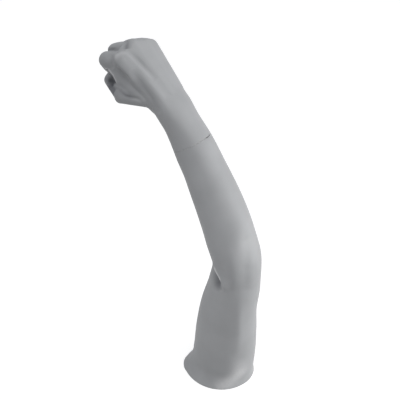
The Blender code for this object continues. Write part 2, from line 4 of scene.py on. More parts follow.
import bpy
import numpy as np
from mathutils import Matrix, Vector


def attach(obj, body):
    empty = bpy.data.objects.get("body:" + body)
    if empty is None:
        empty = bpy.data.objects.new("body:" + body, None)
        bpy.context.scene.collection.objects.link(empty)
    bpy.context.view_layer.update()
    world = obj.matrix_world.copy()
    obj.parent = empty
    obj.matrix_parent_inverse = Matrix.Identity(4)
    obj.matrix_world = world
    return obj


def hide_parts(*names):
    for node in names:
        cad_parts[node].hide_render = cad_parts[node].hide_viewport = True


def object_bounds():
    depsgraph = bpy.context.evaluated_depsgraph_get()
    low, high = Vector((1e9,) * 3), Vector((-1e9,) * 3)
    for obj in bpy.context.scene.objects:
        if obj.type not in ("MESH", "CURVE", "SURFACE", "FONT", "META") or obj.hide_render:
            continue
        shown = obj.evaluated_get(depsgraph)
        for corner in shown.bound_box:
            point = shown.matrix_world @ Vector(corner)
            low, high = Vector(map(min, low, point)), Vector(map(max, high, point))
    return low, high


# A mannequin's right arm with a clenched fist, on a white studio floor. The arm's sizes are in
# millimetres until they are set in a mesh, and those of the materials and the studio are in metres.

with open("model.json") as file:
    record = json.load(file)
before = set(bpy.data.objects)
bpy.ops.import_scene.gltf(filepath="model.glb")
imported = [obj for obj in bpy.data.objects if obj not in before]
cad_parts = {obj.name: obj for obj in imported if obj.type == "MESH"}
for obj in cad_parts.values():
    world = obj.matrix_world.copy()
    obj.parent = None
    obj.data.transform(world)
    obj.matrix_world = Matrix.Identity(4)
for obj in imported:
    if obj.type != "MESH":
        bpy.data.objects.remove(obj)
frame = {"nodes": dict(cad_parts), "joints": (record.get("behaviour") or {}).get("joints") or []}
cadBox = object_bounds()
turnJoint = next(joint for joint in frame["joints"] if joint["name"] == "hand_turn")
mm = 0.001
print("frame loaded:", len(frame["nodes"]), "nodes")


# Small helpers for objects, selections and points

meshHabits = {
    "smoothAngle": 50.0,  # degrees between two faces, past which the edge between them stays sharp
    "mergeDistance": 0.00001,
}


def deselectAll():
    bpy.ops.object.select_all(action="DESELECT")


def makeActive(piece):
    deselectAll()
    piece.select_set(True)
    bpy.context.view_layer.objects.active = piece


def editAll():
    # opens the active piece, with all of it selected
    bpy.ops.object.mode_set(mode="EDIT")
    bpy.ops.mesh.select_all(action="SELECT")


def endEdit():
    bpy.ops.object.mode_set(mode="OBJECT")


def shadeSmooth(piece):
    makeActive(piece)
    bpy.ops.object.shade_smooth_by_angle(angle=math.radians(meshHabits["smoothAngle"]))


def applyModifiers(piece):
    makeActive(piece)
    for modifier in list(piece.modifiers):
        bpy.ops.object.modifier_apply(modifier=modifier.name)


def pointsOf(piece):
    points = np.zeros(len(piece.data.vertices) * 3, dtype=np.float32)
    piece.data.vertices.foreach_get("co", points)
    return points.reshape(-1, 3).astype(float)


def placePoints(piece, points):
    piece.data.vertices.foreach_set("co", np.asarray(points, dtype=np.float32).ravel())
    piece.data.update()


def keepInside(points):
    # the skins' reliefs stay within the box of the CAD model
    return np.clip(points, np.array(cadBox[0]), np.array(cadBox[1]))


def normalsOf(piece):
    normals = np.zeros(len(piece.data.vertices) * 3, dtype=np.float32)
    piece.data.vertex_normals.foreach_get("vector", normals)
    return normals.reshape(-1, 3).astype(float)


def recalculateNormals(piece):
    makeActive(piece)
    editAll()
    bpy.ops.mesh.normals_make_consistent(inside=False)
    endEdit()


def moved(points, matrix):
    matrix = np.array(matrix)
    return points @ matrix[:3, :3].T + matrix[:3, 3]


# The line and the sections of the arm, the same as the carried shells have

armShape = {
    "lateral": Vector((0.0, -0.839, 0.545)),  # where a section's breadth points at a turn of 0
    # centre x, y, z, half breadth, half thickness, turn in degrees, squareness
    "sections": {
        "shoulderCut": (2.4, -0.5, 0.0, 55.2, 51.0, -36, 2.1),
        "shoulderRim": (5.4, -1.0, 9.0, 51.6, 46.9, -34.5, 2.1),
        "armpit": (7.8, -2.0, 18.9, 50.2, 44.6, -33, 2.1),
        "bicepsLow": (10.2, -5.0, 40.1, 48.9, 44.6, -30, 2.1),
        "biceps": (12.4, -9.0, 85.4, 47.0, 43.6, -24, 2.1),
        "bicepsEnd": (15.2, -13.0, 128.3, 42.9, 40.6, -16, 2.1),
        "aboveElbow": (22.8, -17.0, 170.8, 40.1, 37.5, -8, 2.15),
        "elbow": (25.2, -21.0, 212.2, 38.3, 34.3, 0, 2.2),
        "forearmBulge": (14.9, -11.0, 256.7, 39.0, 35.4, 6, 2.15),
        "forearmUpper": (3.0, -1.0, 290.4, 37.3, 34.3, 14, 2.1),
        "forearmMid": (-10.6, 9.0, 323.1, 35.0, 31.8, 22, 2.1),
        "forearmLower": (-21.1, 17.0, 346.7, 32.8, 29.3, 30, 2.1),
        "forearmEnd": (-32.7, 25.0, 370.5, 31.0, 27.8, 36, 2.15),
        "handJoint": (-37.8, 28.5, 381.1, 30.0, 26.2, 40, 2.2),
        "wrist": (-52.3, 37.0, 408.3, 27.6, 21.8, 46, 2.3),
        "wristCrease": (-63.9, 43.0, 428.1, 28.2, 20.8, 49, 2.4),
        "palmRoot": (-76.5, 51.0, 446.0, 27.6, 16.8, 50, 2.6),
    },
    "levelHold": 18.0,  # the sections stay level with the cut and the joint this far
    "levelReach": 24.0,  # and turn across the arm over this length
    "tangentStep": 1.0,
    # centre x, y, z, reach, rise
    "swells": {
        "elbowPoint": (59.0, -14.0, 228.0, 24.0, 2.2),
        "forearmFold": (-2.0, -46.0, 246.0, 26.0, 2.6),
        "elbowHollow": (2.0, -52.0, 204.0, 18.0, -4.0),
        "elbowGroove": (24.0, -60.0, 184.0, 16.0, -2.0),
        "triceps": (53.0, -30.0, 110.0, 36.0, 0.8),
    },
}

armRows = np.array(list(armShape["sections"].values()), dtype=float)
armStops = np.concatenate([[0.0], np.cumsum(np.linalg.norm(np.diff(armRows[:, :3], axis=0), axis=1))])
armSlopes = np.gradient(armRows, armStops, axis=0)
jointStop = armStops[list(armShape["sections"]).index("handJoint")]


def rowAt(stop):
    # all seven values of the section at this distance along the arm, on a smooth curve through the rows
    index = int(np.clip(np.searchsorted(armStops, stop) - 1, 0, len(armStops) - 2))
    span = armStops[index + 1] - armStops[index]
    t = (stop - armStops[index]) / span
    start = (2 * t**3 - 3 * t**2 + 1) * armRows[index] + (t**3 - 2 * t**2 + t) * span * armSlopes[index]
    end = (3 * t**2 - 2 * t**3) * armRows[index + 1] + (t**3 - t**2) * span * armSlopes[index + 1]
    return start + end


def tangentAt(stop):
    low = max(stop - armShape["tangentStep"], 0.0)
    high = min(stop + armShape["tangentStep"], armStops[-1])
    return Vector((rowAt(high) - rowAt(low))[:3]).normalized()


def levelShare(distance):
    return min(max((abs(distance) - armShape["levelHold"]) / armShape["levelReach"], 0.0), 1.0)


def sectionPlane(stop):
    share = levelShare(stop)
    normal = Vector((0.0, 0.0, 1.0)) * (1.0 - share) + tangentAt(stop) * share
    share = levelShare(stop - jointStop)
    normal = tangentAt(jointStop) * (1.0 - share) + normal * share
    return Vector(rowAt(stop)[:3]), normal.normalized()


def flatPlane(start, height):
    # the plane this high above the section at start, and parallel to it
    base, normal = sectionPlane(start)
    centre = sectionPlane(start + height)[0]
    return centre - normal * ((centre - base).dot(normal) - height), normal


def sectionRing(stop, count, inset=0.0, plane=None):
    # points round the arm at this distance along it, or where it crosses another plane
    breadth, thickness, turn, square = rowAt(stop)[3:]
    centre, normal = plane or sectionPlane(stop)
    side = normal.cross(armShape["lateral"]).normalized()
    outward = side.cross(normal)
    angle = math.radians(turn)
    broad = np.array(outward * math.cos(angle) - side * math.sin(angle))
    thin = np.array(side * math.cos(angle) + outward * math.sin(angle))
    phi = np.linspace(0.0, 2 * math.pi, count, endpoint=False)
    across = np.sign(np.cos(phi)) * np.abs(np.cos(phi)) ** (2 / square) * breadth
    along = np.sign(np.sin(phi)) * np.abs(np.sin(phi)) ** (2 / square) * thickness
    rays = np.outer(across, broad) + np.outer(along, thin)
    rise = np.zeros(count)
    for x, y, z, reach, height in armShape["swells"].values():
        distance = np.linalg.norm(np.array(centre) + rays - (x, y, z), axis=1) / reach
        rise += height * np.exp(-distance * distance)
    lengths = np.linalg.norm(rays, axis=1)
    return np.array(centre) + rays * ((lengths + rise - inset) / lengths)[:, None]


def ringTube(name, rings, body):
    # a torus is taken as a tube with an outer and an inner wall, and each of its rings is set in place
    major, minor = armSkin["blankRadii"]
    deselectAll()
    bpy.ops.mesh.primitive_torus_add(
        major_segments=len(rings[0]), minor_segments=len(rings), major_radius=major, minor_radius=minor
    )
    piece = bpy.context.object
    piece.name = name
    placePoints(piece, np.stack(rings, axis=1).reshape(-1, 3) * mm)
    recalculateNormals(piece)
    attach(piece, body)
    return piece


def pathDistance(points, path):
    # distance from each point to a broken line, and how far along the line its foot lies, from 0 to 1
    path = np.array(path, dtype=float)
    lengths = np.linalg.norm(np.diff(path, axis=0), axis=1)
    total = lengths.sum()
    best = np.full(len(points), np.inf)
    share = np.zeros(len(points))
    run = 0.0
    for start, end, length in zip(path, path[1:], lengths):
        along = np.clip((points - start) @ (end - start) / length**2, 0.0, 1.0)
        distance = np.linalg.norm(points - start - along[:, None] * (end - start), axis=1)
        nearer = distance < best
        best = np.where(nearer, distance, best)
        share = np.where(nearer, (run + along * length) / total, share)
        run += length
    return best, share


taperPower = 0.7  # below 1 the ends of a tapered stroke are round, at 1 they are pointed


def sculpt(points, normals, strokes):
    # moves the skin, stroke by stroke, as a sculptor's tool would, and sums painted light: below 0 it is
    # painted shade in creases and on sides turned from the light, above 0 a painted highlight on lit edges
    paintedShading = np.zeros(len(points))
    for stroke in strokes.values():
        distance, share = pathDistance(points, stroke["path"])
        near = distance / stroke["reach"]
        profile = np.exp(-near * near)
        taper = stroke.get("taper", 0.0)
        if taper:
            profile = profile * np.clip(np.minimum(share, 1.0 - share) / taper, 0.0, 1.0) ** taperPower
        if "push" in stroke:
            points = points + np.outer(profile, stroke["push"])
        else:
            points = points + normals * (profile * stroke.get("depth", 0.0))[:, None]
        paintedShading += stroke.get("paintedShading", 0.0) * profile ** stroke.get("toneGrip", 1.0)
    return points, np.clip(paintedShading, -1.0, 1.0)


# keeps the painted shade and painted highlights on the skin's points, for the paint to read
def keepPaintedShading(piece, paintedShading):
    layer = piece.data.attributes.new("paintedShading", "FLOAT", "POINT")
    layer.data.foreach_set("value", paintedShading.astype(np.float32))


# The arm's shell, from the shoulder cut to the hand joint

armSkin = {
    "ringPoints": 216,
    "wall": 3.0,
    "blankRadii": (0.06, 0.02),  # the torus before its rings are set in place, in metres
    "easeRows": (0.0, 0.08, 0.2, 0.4, 0.7, 1.0, 1.6, 2.4),  # rings this far from either cut
    # rings along the arm: from where to where and how many, closest where the elbow folds in
    "outerRows": ((4.0, 165.0, 64), (165.0, 262.0, 90), (262.0, jointStop - 4.0, 56)),
    "innerRows": ((jointStop - 36.0, 245.0, 3), (245.0, 165.0, 15), (165.0, 36.0, 3)),
    "innerRimRows": (0.0, 4.0, 9.0, 14.8),
    "innerBaseRows": (15.0, 10.0, 5.0, 0.0),
    "rimEase": 0.2,  # the painted edge at the hand joint is rounded this much
    "openEase": 1.6,  # and this much where the joint stands open
    "openSpot": (-6.5, 8.0, 372.0),
    "openReach": 11.0,
    "baseEase": 0.8,
}

# strokes in the order in which they are made: a path, its reach, and how far the skin moves along
# its normal (depth) or in one direction (push); a stroke's shading is painted light, a painted highlight
# above 0 and painted shade below 0
armStrokes = {
    # the hollow under the elbow's fold, with painted shade in it
    "foldHollow": {
        "path": ((-12, -27, 212), (-9.5, -35, 202), (-5.5, -41.5, 191), (-1, -47, 178)),
        "reach": 9.0, "depth": -7.5, "taper": 0.3, "paintedShading": -0.8,
    },
    "foldRidge": {
        "path": ((-9, -37, 225), (-4, -42, 216), (2, -47, 206), (7, -51.5, 196), (10.5, -54, 184)),
        "reach": 5.0, "push": (-3.0, -2.2, -2.4), "taper": 0.25,
    },
    # the fold's edge, with a painted highlight along it
    "foldEdge": {
        "path": ((-8.5, -42, 221), (-5.8, -44, 215.3), (-1.8, -46.8, 207), (2.4, -50.2, 199)),
        "reach": 2.2, "depth": 0.4, "taper": 0.2, "paintedShading": 0.9,
    },
    "forearmRound": {
        "path": ((-29.6, -13.8, 353.7), (-15.9, -27.3, 321.8), (-2.1, -42.1, 282), (8, -53, 247)),
        "reach": 13.0, "depth": 1.6, "taper": 0.3,
    },
    "shoulderLip": {
        "path": ((-46, 24, 1), (-52, 12, 1), (-54, 0, 1), (-51, -14, 1)),
        "reach": 7.0, "push": (-1.9, -0.3, 0.0), "taper": 0.3,
    },
    "elbowSide": {
        "path": ((38, -42, 262), (39, -52, 236), (38, -57, 208), (38, -55, 190)),
        "reach": 12.0, "depth": -2.9,
    },
    "elbowOuter": {
        "path": ((49, -35, 262), (51, -41, 236), (50, -47, 208), (48, -47, 186)),
        "reach": 12.0, "depth": -1.7,
    },
    "elbowCrest": {
        "path": ((12, -48, 258), (17, -54, 236), (18, -57, 212), (20, -56, 188)),
        "reach": 8.0, "depth": 1.1, "taper": 0.3,
    },
    "elbowFront": {"path": ((26, -58.5, 218), (26, -58, 192)), "reach": 14.0, "depth": -0.45},
    # painted light on the lit lower flare at the shoulder cut
    "rimLight": {
        "path": ((-6, -53, 4), (12, -53, 12), (28, -50, 20), (40, -45, 27), (50, -34, 32)),
        "reach": 13.0, "taper": 0.25, "paintedShading": 0.38,
    },
    # more painted light, spread wider over the same flare
    "rimLightWide": {
        "path": ((2, -53, 3), (16, -52, 12), (27, -50, 26), (31, -49, 44)),
        "reach": 14.0, "paintedShading": 0.3,
    },
    "seamChip": {
        "path": ((-20, 14.5, 394.5), (-17.3, 19.9, 394.1), (-14.5, 24.6, 393.7), (-12.6, 30, 392.5)),
        "reach": 2.4, "push": (0.55, -0.36, -1.1), "taper": 0.25,
    },
    "bicepsFlat": {
        "path": ((6, -54, 165), (6, -54, 120), (8, -53, 70)),
        "reach": 15.0, "depth": -1.3, "taper": 0.25,
    },
    "bicepsEdge": {
        "path": ((24, -56, 190), (28, -55, 165), (30, -54, 130), (30, -53, 95), (29, -51, 60)),
        "reach": 8.0, "depth": 1.2, "taper": 0.35,
    },
    "elbowStep": {
        "path": ((28, -57, 226), (43, -53, 223), (54, -44, 220)),
        "reach": 6.0, "depth": -0.6, "taper": 0.3,
    },
}


def easedInset(distance, radius):
    # how far a rounded edge draws in at this distance from the cut
    distance = np.minimum(distance, radius)
    return radius - np.sqrt(np.maximum(radius**2 - (radius - distance) ** 2, 0.0))


def jointEase(points):
    spot = np.array(armSkin["openSpot"])
    near = np.exp(-((np.linalg.norm(points - spot, axis=1) / armSkin["openReach"]) ** 2))
    return armSkin["rimEase"] + (armSkin["openEase"] - armSkin["rimEase"]) * near


def easedRing(cut, height, ease=None):
    # a ring beside a cut, drawn in by the rounding of the cut's edge, by default the joint's
    plane = flatPlane(cut, height)
    ring = sectionRing(cut + height, armSkin["ringPoints"], 0.0, plane)
    radius = jointEase(ring) if ease is None else ease
    inset = easedInset(np.full(len(ring), abs(height)), radius)
    rays = ring - np.array(plane[0])
    return ring - rays / np.linalg.norm(rays, axis=1)[:, None] * inset[:, None]


def spacedStops(rows):
    # evenly spaced within each row, of which only the last keeps its end
    return np.concatenate([np.linspace(*row, endpoint=row is rows[-1]) for row in rows])


def makeArmSkin():
    count = armSkin["ringPoints"]
    wall = armSkin["wall"]
    rings = [easedRing(0.0, height, armSkin["baseEase"]) for height in armSkin["easeRows"]]
    rings += [sectionRing(stop, count) for stop in spacedStops(armSkin["outerRows"])]
    rings += [easedRing(jointStop, -height) for height in reversed(armSkin["easeRows"])]
    outerRings = len(rings)
    for height in armSkin["innerRimRows"]:
        rings.append(sectionRing(jointStop - height, count, wall, flatPlane(jointStop, -height)))
    rings += [sectionRing(stop, count, wall) for stop in spacedStops(armSkin["innerRows"])]
    for height in armSkin["innerBaseRows"]:
        rings.append(sectionRing(height, count, wall, flatPlane(0.0, height)))
    skin = ringTube("arm_skin", rings, "arm")
    # the inner wall moves with the outer one
    outward = np.tile(np.where(np.arange(len(rings)) < outerRings, 1.0, -1.0), count)
    normals = normalsOf(skin) * outward[:, None]
    points, paintedShading = sculpt(pointsOf(skin) / mm, normals, armStrokes)
    placePoints(skin, keepInside(points * mm))
    keepPaintedShading(skin, paintedShading)
    shadeSmooth(skin)
    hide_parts("arm_shell")
    return skin


armSkinPiece = makeArmSkin()
print("arm skin:", len(armSkinPiece.data.polygons), "faces")


# The hand: balls joined into bones and masses, wrapped in one skin and then sculpted

handShape = {
    "origin": Vector((-63.8, 43.5, 427.5)),
    "distal": Vector((-0.541, 0.367, 0.757)).normalized(),
    "dorsal": Vector((0.520, -0.560, 0.643)),
    # each finger's joints from the knuckle to the tip: x, y, z, radius
    "fingers": {
        "index": (
            (29.5, 91.5, -1.0, 11.2), (28.2, 103.0, -29.8, 12.0),
            (24.0, 79.0, -37.0, 8.4), (21.0, 69.0, -25.0, 7.4),
        ),
        "middle": (
            (5.5, 99.8, 2.5, 11.2), (10.0, 106.4, -28.2, 12.0),
            (8.0, 81.0, -38.0, 8.8), (8.0, 70.0, -22.0, 7.6),
        ),
        "ring": (
            (-12.5, 94.0, -1.2, 11.5), (-9.0, 101.5, -33.0, 10.4),
            (-9.5, 78.0, -38.5, 8.6), (-9.5, 68.0, -22.0, 7.4),
        ),
        "little": (
            (-28.2, 86.6, -5.6, 10.4), (-27.0, 91.0, -33.0, 9.4),
            (-26.0, 71.5, -36.5, 7.8), (-24.5, 62.5, -22.0, 6.8),
        ),
    },
    "palmBases": {
        "index": (13.0, 16.0, 2.5, 16.5),
        "middle": (4.0, 14.0, 3.0, 17.0),
        "ring": (-6.5, 14.0, 2.5, 15.8),
        "little": (-16.0, 17.0, 0.0, 14.2),
    },
    "thumb": (
        (15.0, 22.0, -6.5, 11.8), (41.6, 51.2, -25.4, 12.0),
        (24.5, 78.0, -54.4, 9.8), (-1.0, 89.0, -51.4, 8.4),
    ),
    "masses": {
        "thumbCorner": ((41.6, 51.2, -25.4, 12.0), (44.2, 50.2, -28.0, 9.0)),
        "thumbBall": (
            (17.0, 25.0, -8.0, 12.5), (35.0, 50.0, -23.0, 12.5),
            (10.0, 46.0, -13.0, 10.0), (22.0, 60.0, -27.0, 8.5),
        ),
        "thumbRoot": ((17.0, 25.0, -8.0, 12.6), (11.0, -7.0, -6.0, 10.9)),
        "littleBall": (
            (-15.0, 18.0, -5.0, 13.0), (-24.0, 56.0, -13.0, 13.0),
            (-14.0, 42.0, -10.0, 11.5), (-18.0, 60.0, -21.0, 8.5),
        ),
        "littleRoot": ((-15.0, 18.0, -5.0, 13.0), (-10.0, 0.0, -3.0, 12.0)),
        "palm": ((-4.0, 20.0, -6.0, 13.0), (2.0, 62.0, -11.0, 12.0)),
        "palmFill": (
            (12.0, 34.0, -11.0, 11.0), (-14.0, 34.0, -9.0, 12.0),
            (10.0, 58.0, -20.0, 9.5), (-14.0, 58.0, -18.0, 9.5),
        ),
        "tipBed": (
            (20.0, 62.0, -27.0, 7.5), (-20.0, 58.0, -21.0, 8.0),
            (-20.0, 68.0, -25.0, 8.0), (18.0, 70.0, -29.0, 8.0),
        ),
        "fistHeart": (
            (20.0, 76.0, -24.0, 9.5), (-24.0, 72.0, -22.0, 9.0),
            (-23.0, 82.0, -20.0, 8.5), (14.0, 88.0, -20.0, 8.0),
        ),
        "littleFold": ((-25.0, 80.0, -20.0, 9.5), (-25.0, 71.0, -25.0, 9.2)),
        "thumbBed": ((14.0, 80.0, -44.0, 5.0), (-6.0, 82.0, -43.0, 5.0)),
        "webRoot": ((24.0, 32.0, -9.0, 11.0), (30.5, 52.0, -15.5, 11.5)),
        "webHigh": (
            (29.5, 88.0, -12.0, 10.0), (29.5, 70.0, -14.0, 11.0),
            (36.0, 90.0, -24.0, 2.2), (36.0, 74.0, -24.8, 2.2),
        ),
        "webLow": (
            (29.5, 70.0, -14.0, 11.0), (30.5, 52.0, -15.5, 11.5),
            (36.0, 74.0, -24.8, 2.2), (37.0, 61.0, -28.5, 2.2),
        ),
    },
    "ballFineness": 3,
    "webSinks": (2.6, 5.4, 5.8),  # how far the skin between two fingers lies below them at each joint
    # the wrist runs from inside the forearm's end to the palm: points to a ring, rings, overlap
    "wristPoints": 96,
    "wristRings": 24,
    "wristOverlap": 8.0,
    "voxel": 0.9,
    "smoothFactor": 0.5,
    "smoothPasses": 5,
    "jointGap": 0.15,
    # the rounded edge is made from the open rim up to rimReach, on the outer skin alone
    "rimPoints": 360,
    "rimReach": 3.0,
    "rimSlack": 0.2,
    # places that are rubbed smooth before the sculpting: x, y, z, reach
    "softSpots": (
        (38.0, 60.0, -8.0, 15.0),
        (36.0, 42.0, -10.0, 12.0),
        (26.0, 24.0, -8.0, 13.0),
        (12.0, 12.0, -16.0, 12.0),
        (-18.0, 12.0, -12.0, 13.0),
        (-24.0, 14.0, 2.0, 12.0),
        (-4.0, 44.0, -22.0, 14.0),
    ),
    "softPower": 4,
    "softFloor": 0.02,
    "softPasses": 45,
    # balls that the hollow of the palm is stretched over, and the radius of one more at its mouth
    "hollow": ((14.0, 56.0, -4.0, 9.0), (-12.0, 52.0, -4.0, 9.0), (0.0, 2.0, 0.0, 13.0)),
    "hollowMouth": 15.0,
    "mouthRings": 8,
    "mouthBelow": 3.0,
    "boardRoom": 0.3,
}

# strokes in the hand's own frame, in the order in which they are made; their shading paints shade into
# the creases and onto the fist's shaded thumb side, and paints highlights on a lit knuckle and rim
handStrokes = {
    "plateau": {"path": ((-7, 105, 6.5), (-15, 102, 5.5)), "reach": 8.0, "depth": -0.9},
    "plateauEdge": {"path": ((-2, 108, 8), (-8, 106.5, 7.5)), "reach": 4.5, "depth": 0.3},
    # painted shade beside the middle knuckle, with no change of shape
    "knuckleShade": {"path": ((14.5, 106.3, 7.9), (21, 99.5, 10.6)), "reach": 4.0, "paintedShading": -0.3},
    # the valley between the knuckles, with painted shade in it
    "knuckleValley": {
        "path": ((5, 113.5, 0), (11, 110, 4.5), (15.5, 106, 7.5), (20.5, 100, 10)),
        "reach": 4.8, "depth": -3.0, "taper": 0.1, "paintedShading": -0.25,
    },
    "middleTop": {"path": ((12, 111, -2), (8, 113, -6)), "reach": 5.0, "depth": -1.0},
    "backValley": {
        "path": ((21, 99.5, 10.8), (19.5, 91, 12), (17, 80, 13.5), (14.8, 67, 14.6), (11, 44, 16)),
        "reach": 4.6, "depth": -2.6, "taper": 0.45,
    },
    "indexRidge": {
        "path": ((27, 96, 10), (24.5, 84, 11.8), (21.5, 71, 13.4), (18.5, 57, 14.8)),
        "reach": 4.2, "depth": 1.0, "taper": 0.3,
    },
    # the flattened thumb side of the hand, with painted shade on it
    "radialFlat": {
        "path": ((31.5, 74, 10), (31, 52, 10.5), (29.5, 26, 8), (29, 4, 3)),
        "reach": 8.0, "depth": -3.4, "taper": 0.3, "paintedShading": -0.25,
    },
    # a painted highlight on the index knuckle
    "knuckleLight": {
        "path": ((36.3, 99.7, 3.9), (30, 99, 7), (25.7, 98.5, 9.6)), "reach": 5.0, "paintedShading": 0.4,
    },
    # the next three strokes paint shade on the thumb, its tip and the thumb side of the hand, with no
    # change of shape
    "thumbShade": {
        "path": ((41, 69, -43), (47, 60, -30), (49, 54, -18), (44, 45, -13)),
        "reach": 8.0, "paintedShading": -0.4,
    },
    "tipShade": {
        "path": ((34, 81, -51), (36, 77, -46), (39.4, 72.8, -47), (45.7, 62, -35.6)),
        "reach": 7.0, "paintedShading": -0.5,
    },
    "radialShade": {
        "path": ((39, 77, -5), (38, 67, -9), (37, 58, -10), (33.7, 46, -2)),
        "reach": 11.0, "paintedShading": -0.3,
    },
    "dorsalEdge": {
        "path": ((22.5, 76, 13), (23, 54, 14.5), (22, 28, 15.5), (22, 6, 14), (22, -14, 12)),
        "reach": 7.0, "depth": 1.5, "taper": 0.3,
    },
    "phalanxDip": {"path": ((-2, 112, -5), (5, 112, -9)), "reach": 6.0, "depth": -1.0},
    # a crease along the index finger, with painted shade in it
    "fingerLine": {
        "path": ((17, 110, -38), (19, 114.5, -29), (19.5, 111.5, -20), (20.5, 107.8, -10.7), (20, 105, -3)),
        "reach": 2.3, "depth": -2.0, "taper": 0.15, "paintedShading": -0.4,
    },
    # the index finger's side, sunk and with a faint painted shade
    "phalanxSide": {
        "path": ((37.5, 103, -9), (40.5, 98, -11), (41.5, 93, -13)),
        "reach": 6.5, "depth": -2.6, "paintedShading": -0.08,
    },
    "knuckleStep": {
        "path": ((33, 103, 1.5), (36, 100, 2.5), (39.5, 95.5, 2), (40.7, 91.5, -1)),
        "reach": 3.0, "depth": 1.0, "taper": 0.1,
    },
    "radialEdge": {
        "path": (
            (40.3, 90.8, 0), (39.3, 84.9, 3), (38.1, 78.9, 4),
            (36.9, 68.9, 4), (35.7, 61.1, 4.5), (33.7, 52, 7),
        ),
        "reach": 4.5, "depth": 1.2, "taper": 0.25,
    },
    "webHollow": {
        "path": ((41, 88, -8), (40, 79, -6.5), (39, 69, -5), (39, 61, -4)),
        "reach": 7.0, "depth": -3.0, "taper": 0.3,
    },
    "webLobe": {"path": ((39, 49, -6), (36, 42, -6)), "reach": 7.5, "depth": 1.5},
    # the crease at the thumb's web, with painted shade in it
    "webCrease": {
        "path": (
            (40, 68.9, -24.2), (43, 64, -22), (46.1, 58.9, -17.9), (47.5, 53, -15.4),
            (46.1, 47.9, -14.3), (41.5, 41.9, -11.1), (37.8, 38.1, -8.3), (32, 31, -6),
        ),
        "reach": 2.6, "depth": -1.8, "taper": 0.2, "paintedShading": -0.15,
    },
    # the gap under the thumb and the thumb's side, both with painted shade in them
    "thumbGap": {
        "path": ((34.5, 93, -38), (34, 86, -38), (34, 78, -38), (37, 70, -32)),
        "reach": 6.6, "push": (-6.0, -1.0, -7.0), "taper": 0.1, "paintedShading": -0.6,
    },
    "thumbSide": {
        "path": ((38, 73, -41), (43, 68, -36), (49, 60, -28)),
        "reach": 6.0, "depth": -2.6, "taper": 0.15, "paintedShading": -0.45,
    },
    "rimSide": {
        "path": ((41, 86, -17), (41, 77, -16), (42, 69, -17)),
        "reach": 4.5, "depth": -1.2, "taper": 0.2,
    },
    # a raised rim with a painted highlight along it
    "foldRim": {
        "path": (
            (38.5, 96.8, -31.8), (37.6, 93.2, -27.5), (38.3, 87.8, -23.1), (38.8, 80.6, -21.5),
            (38.8, 74.6, -23), (39.6, 68.9, -24.2), (41, 65.7, -23.3),
        ),
        "reach": 2.0, "depth": 1.8, "taper": 0.1, "paintedShading": 0.95, "toneGrip": 2.0,
    },
}


def handMatrix():
    # from the hand's own frame, with y to the knuckles and z to the back of the hand, to the whole
    distal = handShape["distal"]
    dorsal = (handShape["dorsal"] - distal * handShape["dorsal"].dot(distal)).normalized()
    turn = Matrix((dorsal.cross(distal), distal, dorsal)).transposed()
    return Matrix.Translation(handShape["origin"]) @ turn.to_4x4()


def joinAll(pieces):
    deselectAll()
    for piece in pieces:
        piece.select_set(True)
    bpy.context.view_layer.objects.active = pieces[0]
    bpy.ops.object.join()
    return bpy.context.object


def ballHull(balls):
    # the skin stretched over these balls, as an object of its own
    deselectAll()
    made = []
    for *place, radius in balls:
        bpy.ops.mesh.primitive_ico_sphere_add(
            subdivisions=handShape["ballFineness"], radius=radius * mm, location=Vector(place) * mm
        )
        made.append(bpy.context.object)
    hull = joinAll(made[::-1])
    editAll()
    bpy.ops.mesh.delete(type="EDGE_FACE")
    bpy.ops.mesh.select_all(action="SELECT")
    bpy.ops.mesh.convex_hull()
    endEdit()
    return hull


def thinner(ball, sink):
    # the same ball with a smaller radius
    return (*ball[:3], ball[3] - sink)


def handMasses():
    bases = handShape["palmBases"]
    chains = handShape["fingers"]
    hulls = []
    for name, joints in chains.items():
        hulls += [ballHull(pair) for pair in zip(joints, joints[1:])]
        hulls.append(ballHull((bases[name], joints[0])))
    names = list(chains)
    sinks = handShape["webSinks"]
    for first, second in zip(names, names[1:]):
        pair = (first, second)
        hulls.append(ballHull([chains[n][0] for n in pair] + [bases[n] for n in pair]))
        hulls.append(ballHull([thinner(ball, sink) for n in pair for ball, sink in zip(chains[n], sinks)]))
    thumb = handShape["thumb"]
    hulls += [ballHull(pair) for pair in zip(thumb, thumb[1:])]
    hulls += [ballHull(pair) for pair in handShape["masses"].values()]
    return hulls


def closedTube(rings):
    # a grid rolled round the rings, with both ends filled
    rows = [np.vstack([ring, ring[:1]]) for ring in rings]
    deselectAll()
    bpy.ops.mesh.primitive_grid_add(x_subdivisions=len(rings[0]), y_subdivisions=len(rows) - 1)
    tube = bpy.context.object
    placePoints(tube, np.vstack(rows) * mm)
    editAll()
    bpy.ops.mesh.remove_doubles(threshold=meshHabits["mergeDistance"])
    bpy.ops.mesh.fill_holes(sides=0)
    bpy.ops.mesh.normals_make_consistent(inside=False)
    endEdit()
    return tube


def wristTube():
    # the forearm's own sections run on under the hand's masses
    stops = np.linspace(jointStop - handShape["wristOverlap"], armStops[-1], handShape["wristRings"])
    return closedTube([sectionRing(stop, handShape["wristPoints"]) for stop in stops])


def heightOver(points, centre, normal):
    return (np.asarray(points) - np.array(centre)) @ np.array(normal)


def trimAtJoint(piece):
    # cuts the piece off square at the hand's own rim and leaves it open there
    centre, normal = sectionPlane(jointStop)
    rim = (centre + normal * handShape["jointGap"]) * mm
    makeActive(piece)
    editAll()
    bpy.ops.mesh.bisect(plane_co=rim, plane_no=normal, clear_inner=True, use_fill=False)
    endEdit()


